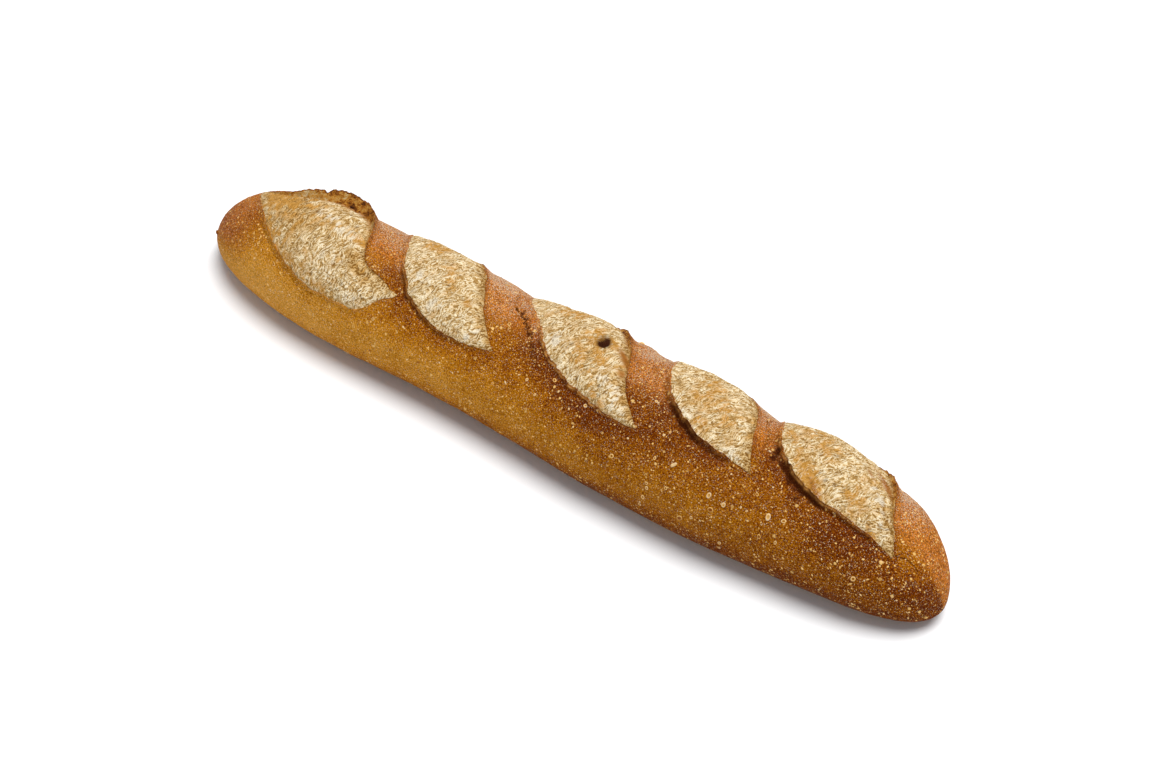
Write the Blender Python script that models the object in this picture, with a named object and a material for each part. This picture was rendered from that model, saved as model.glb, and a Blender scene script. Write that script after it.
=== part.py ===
"""A baguette as one solid: a long loaf, flat underneath, whose five slashes opened while it baked.

X runs along the loaf, Y across it and Z up, in metres. The loaf is a loft of cross-sections from tip
to tip. Each slash is a second loft, laid on the loaf's skin from the slash's back tip to its front
tip: a thin lip of crust in front, a domed leaf of open crumb, and an ear of crust behind. The five
are joined to the loaf, so that all of it is one closed body.
"""

import math
from collections import namedtuple

import bpy
import numpy as np

MM = 0.001

# The loaf.
LENGTH = 430 * MM
WIDTH = 70.7 * MM
CROWN = 29.6 * MM  # from the axis up to the top of the crust
BELLY = 27.7 * MM  # from the axis down, before the table flattens it
AXIS_HEIGHT = 23.9 * MM
BELLY_POWER = 2.4  # over 2, the flanks stand steeper than on an ellipse
BLUNT_POWER = 6.7  # how full the blunt end is, at -X
POINTED_POWER = 5.65  # how full the pointed end is, at +X
THICKENING = 0.08  # share by which the loaf grows from its middle to +X
WAVE = 0.043  # share by which it swells and narrows along its length
WAVE_LENGTH = 210 * MM
WAVE_CREST = 66 * MM
BLUNT_TIP_HEIGHT = 4.9 * MM
POINTED_TIP_HEIGHT = 9.6 * MM
BOW = -3.3 * MM  # the middle bows towards -Y
BLUNT_SWING = 4.1 * MM  # sideways turn of each tip, along Y
POINTED_SWING = -5.8 * MM
SWING_POWER = 6
GIRTH_RADIUS = 33 * MM  # turns a distance round the skin into an angle

# Where the crust behind the slashes swelled or sank: along and round the skin, height, length and width,
# in millimetres.
Swell = namedtuple("Swell", "along round height length width")
SWELLS = (
    Swell(-52, 30, 3.0, 19, 18),
    Swell(31, 33, 2.2, 7, 13),
    Swell(110, 32, -3.4, 16, 18),
    Swell(186, 34, 2.2, 19, 19),
)
MIDDLE_ACROSS = -1.19 * MM  # where the middle of the finished width falls, moved onto Y = 0

# One opened slash, in millimetres. Its tips are (along the loaf, round the skin from the top line), with
# the +Y side positive. Front is the -Y side and back the +Y side. Fullness under 1 rounds a side of the
# leaf and over 1 sharpens it; lean under 1 moves its widest place towards the back tip. Lip, rise and ear
# are heights over the crust. The ear peaks at its place, a share of the way from the back tip, and falls
# off over its spread. Tuck is how far the crumb lies under the ear's crest.
Slash = namedtuple(
    "Slash",
    "back_tip front_tip front_width front_fullness front_lean"
    " back_width back_fullness back_lean lip rise ear ear_place ear_spread tuck",
)
SLASHES = (
    Slash((-192, 12), (-82, -16), 28, 0.5, 1.3, 20.5, 3.0, 1.12, 2.0, 3.2, 11.0, 0.41, 0.24, 7.8),
    Slash((-111, 37), (-23, -19), 24, 0.8, 1.2, 18.5, 1.35, 0.62, 1.8, 3.6, 3.2, 0.5, 0.35, 0.3),
    Slash((-30, 37), (61.5, -21), 24, 0.75, 0.7, 20.5, 1.35, 0.62, 2.0, 4.2, 5.4, 0.42, 0.26, 1.8),
    Slash((49, 38), (120, -16.5), 20.5, 1.0, 0.87, 19, 1.2, 0.75, 2.0, 2.0, 1.4, 0.5, 0.4, 0.2),
    Slash((108, 37), (192, -17), 22.5, 1.3, 0.8, 26, 0.8, 0.8, 2.2, 3.4, 4.0, 0.6, 0.3, 1.6),
)
LIP_FOOT = 5.5 * MM  # how far the lip's outer slope reaches in front of the leaf
LIP_EDGE = 1.2 * MM  # how thick its thin edge is
EAR_FOOT = 5.0 * MM
EAR_EDGE = 1.4 * MM
EAR_LOW = 0.25  # share of the ear's height that is left far from its peak
EDGE_LIMIT = 0.2  # an edge is never thicker than this share of its side of the leaf
FADE = 0.6  # power under 1: the heights stay nearly full until close to the slash's tips
EAR_FADE = 0.5
LIP_KNEE = (0.4, 0.45)  # where the outer slope bends, as shares of the foot and of the height
EAR_KNEE = (0.5, 0.5)
LIP_INSIDE = 0.9  # height of the edge's inner corner, as a share of the lip
EAR_INSIDE = 0.85
CRUMB_UP_LIP = 0.8  # how far up the lip the crumb starts
CRUMB_UP_EAR = 0.3  # and the least it climbs up the ear
WALL_RUN = 0.75  # how far the ear's inner wall leans in, as a share of how far it stands over the crumb
DOME_LEAN = 0.25  # how much more the crumb domes towards the ear
ROOT = 2.5 * MM  # how deep the slash's loft is sunk under the skin
HEART = 5.0 * MM  # and how much deeper at its middle

LOAF_RINGS = 68
LOAF_SIDES = 36
SLASH_RINGS = 24
DOME_POINTS = 5

CRUST_COLOUR = (0.36, 0.14, 0.02, 1.0)
CRUST_ROUGHNESS = 0.55


def clear_scene():
    for old in list(bpy.data.objects):
        bpy.data.objects.remove(old, do_unlink=True)


def girth(along):
    """Size of the cross-section as a share of the widest: round at the tips, with a slow wave."""
    share = 2 * along / LENGTH
    power = np.where(along < 0, BLUNT_POWER, POINTED_POWER)
    taper = np.sqrt(np.clip(1 - np.abs(share) ** power, 0, 1))
    wave = WAVE * np.cos(2 * np.pi * (along - WAVE_CREST) / WAVE_LENGTH)
    return taper, taper * (1 + THICKENING * share + wave)


def swelling(along, turn):
    """How far the crust stands out where it swelled, as a sum of bells."""
    total = 0.0
    for swell in SWELLS:
        ahead = (along - swell.along * MM) / (swell.length * MM)
        beside = (turn * GIRTH_RADIUS - swell.round * MM) / (swell.width * MM)
        total = total + swell.height * MM * np.exp(-(ahead**2) - beside**2)
    return total


def skin(along, turn):
    """Points of the crust, where turn is the angle from the top line, positive towards +Y."""
    along, turn = np.broadcast_arrays(along, turn)
    share = 2 * along / LENGTH
    taper, size = girth(along)
    tip = np.where(along < 0, BLUNT_TIP_HEIGHT, POINTED_TIP_HEIGHT)
    axis = tip + (AXIS_HEIGHT - tip) * taper
    swing = np.where(along < 0, BLUNT_SWING, POINTED_SWING) * np.abs(share) ** SWING_POWER
    out = swelling(along, turn)
    across = BOW * (np.cos(np.pi * share / 2) - 0.5) + swing
    across = across + (WIDTH / 2 * size + out) * np.sin(turn)
    flank = np.clip(1 - np.abs(np.sin(turn)) ** BELLY_POWER, 0, 1) ** (1 / BELLY_POWER)
    upper = axis + (CROWN * size + out) * np.cos(turn)
    lower = np.maximum(axis - BELLY * size * flank, 0)
    height = np.where(np.cos(turn) >= 0, upper, lower)
    return np.stack([along, across - MIDDLE_ACROSS, height], axis=-1)


def outward(along, turn):
    """Unit normals of the crust, from the two directions that lie in it."""
    step = 0.2 * MM
    ahead = skin(along + step, turn) - skin(along - step, turn)
    round_it = skin(along, turn + step / GIRTH_RADIUS) - skin(along, turn - step / GIRTH_RADIUS)
    normal = np.cross(round_it, ahead)
    return -normal / np.linalg.norm(normal, axis=-1, keepdims=True)


def on_skin(slash, share, side, height):
    """Points beside the line between a slash's tips, share of the way along it.

    Side is the distance from that line towards the front, and height is above the crust.
    """
    start = np.array(slash.back_tip) * MM
    line = np.array(slash.front_tip) * MM - start
    length = np.hypot(*line)
    ahead = line / length
    to_front = np.array([ahead[1], -ahead[0]])
    along = start[0] + ahead[0] * length * share + to_front[0] * side
    turn = (start[1] + ahead[1] * length * share + to_front[1] * side) / GIRTH_RADIUS
    return skin(along, turn) + outward(along, turn) * height[..., None]


def section(slash, share):
    """Outline across an opened slash, as sides and heights, from the lip's foot to under the crumb."""
    front = slash.front_width * MM * math.sin(math.pi * share**slash.front_lean) ** slash.front_fullness
    back = slash.back_width * MM * math.sin(math.pi * share**slash.back_lean) ** slash.back_fullness
    middle = math.sin(math.pi * share)
    fade = middle**FADE
    lip = slash.lip * MM * fade
    peak = math.exp(-(((share - slash.ear_place) / slash.ear_spread) ** 2))
    ear = slash.ear * MM * (EAR_LOW + (1 - EAR_LOW) * peak) * middle**EAR_FADE
    lip_edge = min(LIP_EDGE, EDGE_LIMIT * front)
    ear_edge = min(EAR_EDGE, EDGE_LIMIT * back)
    crumb_front = front - 2 * lip_edge
    lowest_front = CRUMB_UP_LIP * lip
    lowest_back = max(ear - slash.tuck * MM, CRUMB_UP_EAR * ear)
    crumb_back = -back + min(2 * ear_edge + WALL_RUN * (ear - lowest_back), back)
    across = np.linspace(1, -1, DOME_POINTS)
    dome_side = (crumb_front + crumb_back) / 2 + across * (crumb_front - crumb_back) / 2
    dome_low = lowest_front + (lowest_back - lowest_front) * (1 - across) / 2
    dome_height = dome_low + slash.rise * MM * fade * (1 - across**2) * (1 - DOME_LEAN * across)
    before = [
        (front + LIP_FOOT * fade, -ROOT),
        (front + LIP_KNEE[0] * LIP_FOOT * fade, LIP_KNEE[1] * lip),
        (front, lip),
        (front - lip_edge, LIP_INSIDE * lip),
    ]
    after = [
        (-back + ear_edge, EAR_INSIDE * ear),
        (-back, ear),
        (-back - EAR_KNEE[0] * EAR_FOOT * fade, EAR_KNEE[1] * ear),
        (-back - EAR_FOOT * fade, -ROOT),
        (-back / 2, -ROOT - HEART * middle),
        (front / 2, -ROOT - HEART * middle),
    ]
    outline = before + list(zip(dome_side, dome_height)) + after
    return np.array(outline).T


def loft(name, rings, first, last):
    """Closed mesh through rings of equal length, brought to a point at each end."""
    count, sides, _ = rings.shape
    points = [first, *rings.reshape(-1, 3), last]
    end = len(points) - 1
    here = np.arange(sides)
    beside = np.roll(here, -1)
    faces = [(0, 1 + a, 1 + b) for a, b in zip(here, beside)]
    for ring in range(count - 1):
        near = 1 + ring * sides
        far = near + sides
        faces += [(near + b, near + a, far + a, far + b) for a, b in zip(here, beside)]
    top = 1 + (count - 1) * sides
    faces += [(end, top + b, top + a) for a, b in zip(here, beside)]
    mesh = bpy.data.meshes.new(name)
    mesh.from_pydata([tuple(map(float, point)) for point in points], [], faces)
    mesh.update()
    thing = bpy.data.objects.new(name, mesh)
    bpy.context.scene.collection.objects.link(thing)
    return thing


def make_loaf():
    """The loaf without its slashes, with rings closer together towards the tips."""
    angle = np.linspace(-np.pi / 2, np.pi / 2, LOAF_RINGS + 2)
    along = LENGTH / 2 * np.sin(angle)
    turn = np.linspace(-np.pi, np.pi, LOAF_SIDES, endpoint=False)
    rings = skin(along[1:-1, None], turn[None, :])
    tips = skin(along[[0, -1]], np.zeros(2))
    return loft("baguette", rings, tips[0], tips[1])


def make_slash(slash, number):
    """One slash's lip, crumb and ear, as a helper that the loaf takes in."""
    shares = (1 - np.cos(np.linspace(0, np.pi, SLASH_RINGS + 2))) / 2
    rings = [on_skin(slash, share, *section(slash, share)) for share in shares[1:-1]]
    tips = [on_skin(slash, share, np.zeros(1), np.full(1, -ROOT))[0] for share in (0.0, 1.0)]
    piece = loft(f"slash_{number}", np.array(rings), tips[0], tips[1])
    piece.hide_render = True
    piece.display_type = "WIRE"
    return piece


def crust_material():
    material = bpy.data.materials.new("crust")
    material.use_nodes = True
    shader = material.node_tree.nodes["Principled BSDF"]
    shader.inputs["Base Color"].default_value = CRUST_COLOUR
    shader.inputs["Roughness"].default_value = CRUST_ROUGHNESS
    shader.inputs["Metallic"].default_value = 0.0
    return material


def main():
    clear_scene()
    loaf = make_loaf()
    loaf.data.materials.append(crust_material())
    for number, slash in enumerate(SLASHES, start=1):
        join = loaf.modifiers.new(f"join_slash_{number}", "BOOLEAN")
        join.operation = "UNION"
        join.solver = "EXACT"
        join.object = make_slash(slash, number)
    loaf.data.shade_smooth()


main()
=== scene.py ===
"""Dresses a baguette: baked crust, open crumb in its five slashes, their lips and ears, blisters and bits.

Laid out as an add-on. Each operator makes one kind of piece from surfaces worked out with numpy, in
millimetres, which make_piece puts into a mesh in metres. A place on the crust is given by along, the
distance from the middle of the loaf towards its pointed end, and round, the distance round the skin from
the top line, positive towards the back. Each slash has its own axes on the skin: reach runs from its back
tip to its front tip, and side runs across it towards the front.
"""

import math
from collections import namedtuple

import bpy
import numpy as np
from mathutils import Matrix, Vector


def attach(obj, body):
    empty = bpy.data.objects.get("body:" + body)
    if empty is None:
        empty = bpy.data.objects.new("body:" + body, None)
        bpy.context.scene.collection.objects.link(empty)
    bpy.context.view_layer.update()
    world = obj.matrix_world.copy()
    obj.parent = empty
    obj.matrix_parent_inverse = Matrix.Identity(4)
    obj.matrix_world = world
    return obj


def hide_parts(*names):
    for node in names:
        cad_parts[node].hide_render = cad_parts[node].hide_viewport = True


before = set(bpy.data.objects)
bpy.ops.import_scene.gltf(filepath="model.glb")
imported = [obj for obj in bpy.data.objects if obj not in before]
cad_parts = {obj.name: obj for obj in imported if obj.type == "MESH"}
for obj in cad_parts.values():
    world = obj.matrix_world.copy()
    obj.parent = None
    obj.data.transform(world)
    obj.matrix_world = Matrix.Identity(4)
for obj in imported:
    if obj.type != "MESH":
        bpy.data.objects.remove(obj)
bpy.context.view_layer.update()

bl_info = {
    "name": "Baguette looks",
    "version": (1, 0, 0),
    "blender": (4, 5, 0),
    "location": "View3D > Sidebar > Baguette",
    "description": "Makes the crust, crumb, lips, ears and blisters of a baguette around its solid",
    "category": "Object",
}

MM = 0.001
NODE = "baguette"
BODY = "root"

# The loaf, in millimetres: the same shape as the solid.
LENGTH = 430
WIDTH = 70.7
CROWN = 29.6
BELLY = 27.7
AXIS_HEIGHT = 23.9
BELLY_POWER = 2.4
BLUNT_POWER = 6.7
POINTED_POWER = 5.65
THICKENING = 0.08
WAVE = 0.043
WAVE_LENGTH = 210
WAVE_CREST = 66
BLUNT_TIP_HEIGHT = 4.9
POINTED_TIP_HEIGHT = 9.6
BOW = -3.3
BLUNT_SWING = 4.1
POINTED_SWING = -5.8
SWING_POWER = 6
GIRTH_RADIUS = 33
MIDDLE_ACROSS = -1.19

# Where the crust behind the slashes swelled or sank: along and round, height, length and width.
Swell = namedtuple("Swell", "along round height length width")
SWELLS = (
    Swell(-52, 30, 3.0, 19, 18),
    Swell(31, 33, 2.2, 7, 13),
    Swell(110, 32, -3.4, 16, 18),
    Swell(186, 34, 2.2, 19, 19),
)

# An opened slash: tips as (along, round), then the widths and shapes of its front and back sides and the
# heights of its lip, dome and ear, all as on the solid.
Slash = namedtuple(
    "Slash",
    "number back_tip front_tip front_width front_fullness front_lean"
    " back_width back_fullness back_lean lip rise ear ear_place ear_spread tuck",
)
SLASHES = (
    Slash(1, (-192, 12), (-82, -16), 28, 0.5, 1.3, 20.5, 3.0, 1.12, 2.0, 3.2, 11.0, 0.41, 0.24, 7.8),
    Slash(2, (-111, 37), (-23, -19), 24, 0.8, 1.2, 18.5, 1.35, 0.62, 1.8, 3.6, 3.2, 0.5, 0.35, 0.3),
    Slash(3, (-30, 37), (61.5, -21), 24, 0.75, 0.7, 20.5, 1.35, 0.62, 2.0, 4.2, 5.4, 0.42, 0.26, 1.8),
    Slash(4, (49, 38), (120, -16.5), 20.5, 1.0, 0.87, 19, 1.2, 0.75, 2.0, 2.0, 1.4, 0.5, 0.4, 0.2),
    Slash(5, (108, 37), (192, -17), 22.5, 1.3, 0.8, 26, 0.8, 0.8, 2.2, 3.4, 4.0, 0.6, 0.3, 1.6),
)
EAR_LOW = 0.25
FADE = 0.6
EAR_FADE = 0.5
CRUMB_UP_LIP = 0.8
CRUMB_UP_EAR = 0.3
DOME_LEAN = 0.25
SUNK = (0.0, 1.0, 1.0, 0.8, 1.5)  # how much lower the crumb lies beside each ear than on the solid
WALL_RUN = 0.5  # how far an ear's torn inner wall leans in, as a share of how far it stands over the crumb

# Where crust folds in over a leaf, or less than 0 where it gapes: the slash, whether at its front, and the
# place and spread as shares of the way along, and how far in.
Inset = namedtuple("Inset", "slash at_front place spread depth")
INSETS = (
    Inset(1, False, 0.76, 0.09, 6.5), Inset(1, True, 0.965, 0.03, 4.5), Inset(1, True, 0.89, 0.05, -2.5),
    Inset(2, False, 0.8, 0.08, 0.8), Inset(3, False, 0.82, 0.09, 1.8), Inset(3, True, 0.28, 0.22, 4.8),
    Inset(4, False, 0.8, 0.08, 0.6), Inset(5, False, 0.8, 0.1, 2.2),
)

# How a slash's lip is baked: run of its wall, depth of the crease in front of it, how pale its edge is,
# the dark band beside it (strength, middle and spread as shares of the way along, width), how red the
# crust is about it, and the flat fold of crust along part of it (height, middle, spread, width).
Lip = namedtuple(
    "Lip",
    "wall crease pale dark dark_place dark_spread dark_width red fold fold_place fold_spread fold_width",
)
LIPS = (
    Lip(0.9, 0.3, 0.9, 0.3, 0.6, 0.6, 1.0, 0.10, 0.2, 0.3, 0.2, 2.0),
    Lip(1.3, 0.8, 0.5, 0.7, 0.5, 0.4, 3.2, 0.34, 0.15, 0.25, 0.2, 3.0),
    Lip(1.0, 0.5, 1.0, 0.12, 0.5, 0.4, 3.0, 0.5, 1.4, 0.24, 0.2, 5.0),
    Lip(1.6, 1.3, 0.3, 1.0, 0.62, 0.24, 4.2, 0.34, 0.3, 0.2, 0.14, 4.4),
    Lip(1.6, 1.3, 0.6, 1.7, 0.47, 0.2, 4.8, 0.34, 0.8, 0.2, 0.12, 4.8),
)
COVER = 9.5  # how far lips and ears reach out over the crust
BURIED = (9.2, 9.5)  # between these distances their border goes under it
CORE_DEPTH = 4.0  # how deep the crumb and its edges go under the skin
NOTCH = (0.35, 0.014, 1.8)  # a nick in the first ear: its share of the way, half width and depth

# How baked the crust is low on its front, from 0 to 1, at places along the loaf.
BAKED = (
    (-215, 0.4), (-190, 0.16), (-160, 0.08), (-120, 0.12), (-80, 0.3), (-40, 0.34), (0, 0.42),
    (40, 0.55), (80, 0.62), (120, 0.66), (160, 0.72), (190, 0.76), (215, 0.9),
)
# How floury it is at places round it: part flour dust, and part painted sheen where light glances off the top
# strips.
FLOUR_AND_SHEEN = ((-14, 0.0), (0, 0.08), (12, 0.26), (26, 0.5), (36, 0.48), (52, 0.2), (70, 0.05))

# Cracks in the crust, from start to end as (along, round), bent sideways in the middle. Each is a shallow
# groove whose dark line is painted shadow.
Crack = namedtuple("Crack", "start end bend width depth")
CRACKS = (Crack((191, -15), (197, -11), 0.6, 0.45, 0.5), Crack((197, -11), (203, -11.5), -0.5, 0.4, 0.4))

# Places on the crumb that are baked, pale, shaded or sunk, as shares of the way along a slash and
# distances to its side, with their lengths, widths, strengths and depths.
Patch = namedtuple("Patch", "slash share side length width kind strength depth")
PATCHES = tuple(
    Patch(*row)
    for row in (
        (1, 0.2, 4, 9, 8, "tan", 0.7, 0),
        (1, 0.3, 20.5, 11, 3, "tan", 0.6, 0),
        (1, 0.52, 25, 14, 3, "tan", 0.6, 0),
        (1, 0.72, 24, 9, 2.5, "tan", 0.5, 0),
        (1, 0.67, -5, 5, 2, "tan", 1.2, 0.3),
        (1, 0.3, 5, 22, 12, "tan", 0.45, 0),
        (1, 0.3, 4, 26, 14, "shade", 0.4, 0),
        (1, 0.5, -2, 12, 3, "white", 0.7, 0),
        (1, 0.62, -3, 8, 3, "white", 0.6, 0),
        (1, 0.67, 11, 9, 5, "white", 0.5, 0),
        (1, 0.87, 17, 6, 4, "white", 0.6, 0),
        (1, 0.79, 4.5, 11, 3, "shade", 1.0, 0.9),
        (1, 0.91, 5, 4, 2.5, "shade", 0.6, 0.3),
        (2, 0.3, 2, 10, 6, "tan", 0.6, 0),
        (2, 0.56, 4, 8, 3, "tan", 0.6, 0),
        (2, 0.73, 0.6, 2.2, 1.8, "tan", 1.5, 0.6),
        (2, 0.49, 17.4, 6, 4, "white", 0.7, 0),
        (2, 0.66, 15.5, 5, 4, "white", 0.7, 0),
        (2, 0.88, 6.5, 1.3, 6, "white", 1.2, 0),
        # A deep hole, darkened with painted shade inside it.
        (3, 0.555, -2.2, 2.9, 2.5, "pit_shade", 1.8, 2.4),
        (3, 0.53, -1.0, 5.5, 4, "tan", 1.5, 0.3),
        (3, 0.6, -5.5, 4, 1.6, "tan", 1.3, 0),
        (3, 0.67, -8.5, 8, 2.6, "toast", 1.0, 0.5),
        (3, 0.75, -4, 4, 2, "toast", 0.8, 0.3),
        (3, 0.3, 1, 9, 5, "tan", 0.8, 0),
        (3, 0.6, 9.5, 7, 3, "tan", 0.8, 0),
        (3, 0.64, 2, 5, 2.2, "tan", 0.8, 0),
        (3, 0.78, 10, 6, 1.6, "tan", 0.7, 0),
        (3, 0.446, 15, 4, 4.5, "white", 1.1, 0),
        (3, 0.72, 3.5, 5, 3, "white", 0.6, 0),
        (3, 0.84, 3, 7, 3.5, "white", 0.7, 0),
        (3, 0.86, -1, 7, 1.5, "shade", 0.8, 0.3),
        (4, 0.45, 5, 10, 6, "tan", 0.5, 0),
        (4, 0.66, 1, 8, 4, "tan", 0.6, 0),
        (4, 0.64, 12.5, 8, 3, "tan", 0.5, 0),
        (4, 0.37, 15, 4, 1.2, "shade", 0.8, 0.3),
        (4, 0.55, 17, 7, 2.6, "white", 0.8, 0),
        (4, 0.87, 5, 4, 3, "white", 0.8, 0),
        (5, 0.35, 3, 12, 7, "tan", 0.6, 0),
        (5, 0.7, 5, 6, 4.5, "tan", 0.8, 0),
        (5, 0.55, 17.5, 12, 3, "tan", 1.3, 0.1),
        (5, 0.6, 17.5, 8, 1.6, "toast", 0.8, 0.2),
        (5, 0.89, 3.6, 4, 1.4, "tan", 1.2, 0),
        (5, 0.3, 15, 7, 2, "tan", 1.0, 0),
        (5, 0.66, -15, 9, 3, "toast", 0.9, 0.4),
        (5, 0.6, -9, 5, 1.2, "toast", 0.7, 0.2),
        (5, 0.72, -7, 10, 2.2, "white", 1.0, 0),
        (5, 0.87, -2.4, 6, 2.2, "white", 0.9, 0),
        (5, 0.85, -6.5, 10, 1.6, "shade", 1.0, 0.4),
    )
)

LOAF_RINGS = 520
LOAF_SIDES = 190
LOAF_TURNS = 0.45  # share by which the columns of the crust crowd towards the top
CRUMB_RINGS = 330
CRUMB_POINTS = 130
CRUMB_UNDER = 10
EDGE_RINGS = 300
AWAY = 99.0  # distance given to places that no slash is near
NEAR_ENDS = 22  # places this far past the tips of a slash, and this far to its sides, are still near it
NEAR_SIDES = 55
FINE_POINTS = 1201  # points along an edge among which the nearest is found, and their coarse step
COARSE_STEP = 24
PORES = 45
KEY_PLACE = (0.28, 0.18, 1.6)
LOOKED_AT = (0.0142, 0.0038, 0.025)
FLOOR_REACH = 6.0


def srgb(red, green, blue):
    """Scene colour, with alpha, of a colour given as 0 to 255."""
    channels = np.array([red, green, blue]) / 255
    linear = np.where(channels <= 0.04045, channels / 12.92, ((channels + 0.055) / 1.055) ** 2.4)
    return (*map(float, linear), 1.0)


# ---------------------------------------------------------------- shapes


def smooth_step(low, high, value):
    """0 under low, 1 over high, and 3t^2 - 2t^3 between them."""
    t = np.clip((value - low) / (high - low), 0, 1)
    return t * t * (3 - 2 * t)


def bell(value, middle, spread):
    """exp(-((value - middle) / spread)^2)."""
    return np.exp(-(((value - middle) / spread) ** 2))


def arch(share, lean, fullness):
    """sin(pi * share^lean) raised to fullness: 0 at both ends and 1 where it is widest."""
    return np.clip(np.sin(np.pi * np.clip(share, 0, 1) ** lean), 0, 1) ** fullness


def lattice_noise(points, cell, seed):
    """Random field from -1 to 1: random values on a lattice of that cell, blended by 6t^5 - 15t^4 + 10t^3."""
    place = np.asarray(points) / cell
    low = np.floor(place).astype(np.int64)
    t = place - low
    t = t**3 * (t * (6 * t - 15) + 10)
    table = np.random.default_rng(seed).uniform(-1, 1, 8192)
    total = 0
    for corner in np.ndindex(2, 2, 2):
        weight = np.prod(np.where(np.array(corner) == 1, t, 1 - t), axis=-1)
        x, y, z = np.moveaxis(low + np.array(corner), -1, 0)
        total = total + weight * table[(x * 73856093 ^ y * 19349663 ^ z * 83492791) & 8191]
    return total


def girth(along):
    """Size of the cross-section as a share of the widest: round at the tips, with a slow wave."""
    share = 2 * along / LENGTH
    power = np.where(along < 0, BLUNT_POWER, POINTED_POWER)
    taper = np.sqrt(np.clip(1 - np.abs(share) ** power, 0, 1))
    wave = WAVE * np.cos(2 * np.pi * (along - WAVE_CREST) / WAVE_LENGTH)
    return taper, taper * (1 + THICKENING * share + wave)


def swelling(along, round_):
    """Sum of the swells: height * exp(-((along - a) / length)^2 - ((round - r) / width)^2) for each."""
    return sum(
        s.height * bell(along, s.along, s.length) * bell(round_, s.round, s.width) for s in SWELLS
    )


def skin(along, round_):
    """Points of the plain skin: an ellipse above the axis, a fuller one below it, cut off flat at z = 0."""
    out = swelling(along, round_)
    along, turn = np.broadcast_arrays(along, np.asarray(round_) / GIRTH_RADIUS)
    share = 2 * along / LENGTH
    taper, size = girth(along)
    tip = np.where(along < 0, BLUNT_TIP_HEIGHT, POINTED_TIP_HEIGHT)
    axis = tip + (AXIS_HEIGHT - tip) * taper
    swing = np.where(along < 0, BLUNT_SWING, POINTED_SWING) * np.abs(share) ** SWING_POWER
    across = BOW * (np.cos(np.pi * share / 2) - 0.5) + swing + (WIDTH / 2 * size + out) * np.sin(turn)
    flank = np.clip(1 - np.abs(np.sin(turn)) ** BELLY_POWER, 0, 1) ** (1 / BELLY_POWER)
    upper = axis + (CROWN * size + out) * np.cos(turn)
    lower = np.maximum(axis - BELLY * size * flank, 0)
    height = np.where(np.cos(turn) >= 0, upper, lower)
    return np.stack([along, across - MIDDLE_ACROSS, height], axis=-1)


def skin_frame(along, round_):
    """Unit vectors on the skin: ahead along the loaf, round it towards the back, and outward from it."""
    step = 0.2
    inside = np.clip(along, step - LENGTH / 2, LENGTH / 2 - step)
    ahead = skin(inside + step, round_) - skin(inside - step, round_)
    back = skin(inside, round_ + step) - skin(inside, round_ - step)
    out = np.cross(ahead, back)
    ahead, back, out = (v / np.linalg.norm(v, axis=-1, keepdims=True) for v in (ahead, back, out))
    return ahead, np.cross(out, ahead), out


def lift(along, round_, height):
    """Points at a height over the skin, along its outward normal."""
    return skin(along, round_) + skin_frame(along, round_)[2] * np.asarray(height)[..., None]


def slash_axes(slash):
    """Back tip of a slash on the skin, unit vectors along and across it, and its length."""
    start = np.array(slash.back_tip, float)
    line = np.array(slash.front_tip) - start
    length = np.hypot(*line)
    ahead = line / length
    return start, ahead, np.array([ahead[1], -ahead[0]]), length


def from_slash(slash, reach, side):
    """Places on the crust of points given on a slash's own axes: start + ahead * reach + front * side."""
    start, ahead, front, _ = slash_axes(slash)
    return (
        start[0] + ahead[0] * reach + front[0] * side,
        start[1] + ahead[1] * reach + front[1] * side,
    )


def leaf_sides(slash, share, ragged=1.0):
    """How far the leaf of a slash reaches to its front and its back, as two arches with torn edges."""
    front = slash.front_width * arch(share, slash.front_lean, slash.front_fullness)
    back = slash.back_width * arch(share, slash.back_lean, slash.back_fullness)
    for inset in INSETS:
        if inset.slash == slash.number:
            inward = inset.depth * bell(share, inset.place, inset.spread)
            front, back = (front - inward, back) if inset.at_front else (front, back - inward)
    reach = slash_axes(slash)[3] * share
    rows = [np.stack([reach, 0 * reach + 9 * row, 0 * reach + 20 * slash.number], -1) for row in (0, 1)]
    torn = [0.65 * lattice_noise(row, 5.5, 15) + 0.4 * lattice_noise(row, 2.0, 16) for row in rows]
    ends = ragged * arch(share, 1, 0.5)
    front = front + torn[0] * ends * np.minimum(1, front / 6)
    return front, back + torn[1] * ends * np.clip(back / 6, 0.2, 1)


def leaf_heights(slash, share):
    """Heights of lip and ear, and of the crumb's edges beside them, all fading to 0 at the tips."""
    middle = np.clip(np.sin(np.pi * share), 0, 1)
    lip = slash.lip * middle**FADE
    ear = slash.ear * (EAR_LOW + (1 - EAR_LOW) * bell(share, slash.ear_place, slash.ear_spread))
    ear = ear * middle**EAR_FADE
    low = ear - slash.tuck - SUNK[slash.number - 1]
    return lip, ear, CRUMB_UP_LIP * lip, np.maximum(low, CRUMB_UP_EAR * ear)


def edge_line(slash, at_front, count):
    """One edge of a leaf, as share, place and outward unit normal, evenly spread between the tips."""
    share = (1 - np.cos(np.linspace(0, np.pi, count))) / 2
    length = slash_axes(slash)[3]
    torn, smooth = (
        np.stack([length * share, front if at_front else -back], axis=-1)
        for front, back in (leaf_sides(slash, share), leaf_sides(slash, share, ragged=0.0))
    )
    along_it = np.gradient(smooth, axis=0)
    along_it /= np.linalg.norm(along_it, axis=-1, keepdims=True)
    normal = np.stack([-along_it[:, 1], along_it[:, 0]], axis=-1)
    return share, torn, normal if at_front else -normal


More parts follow.
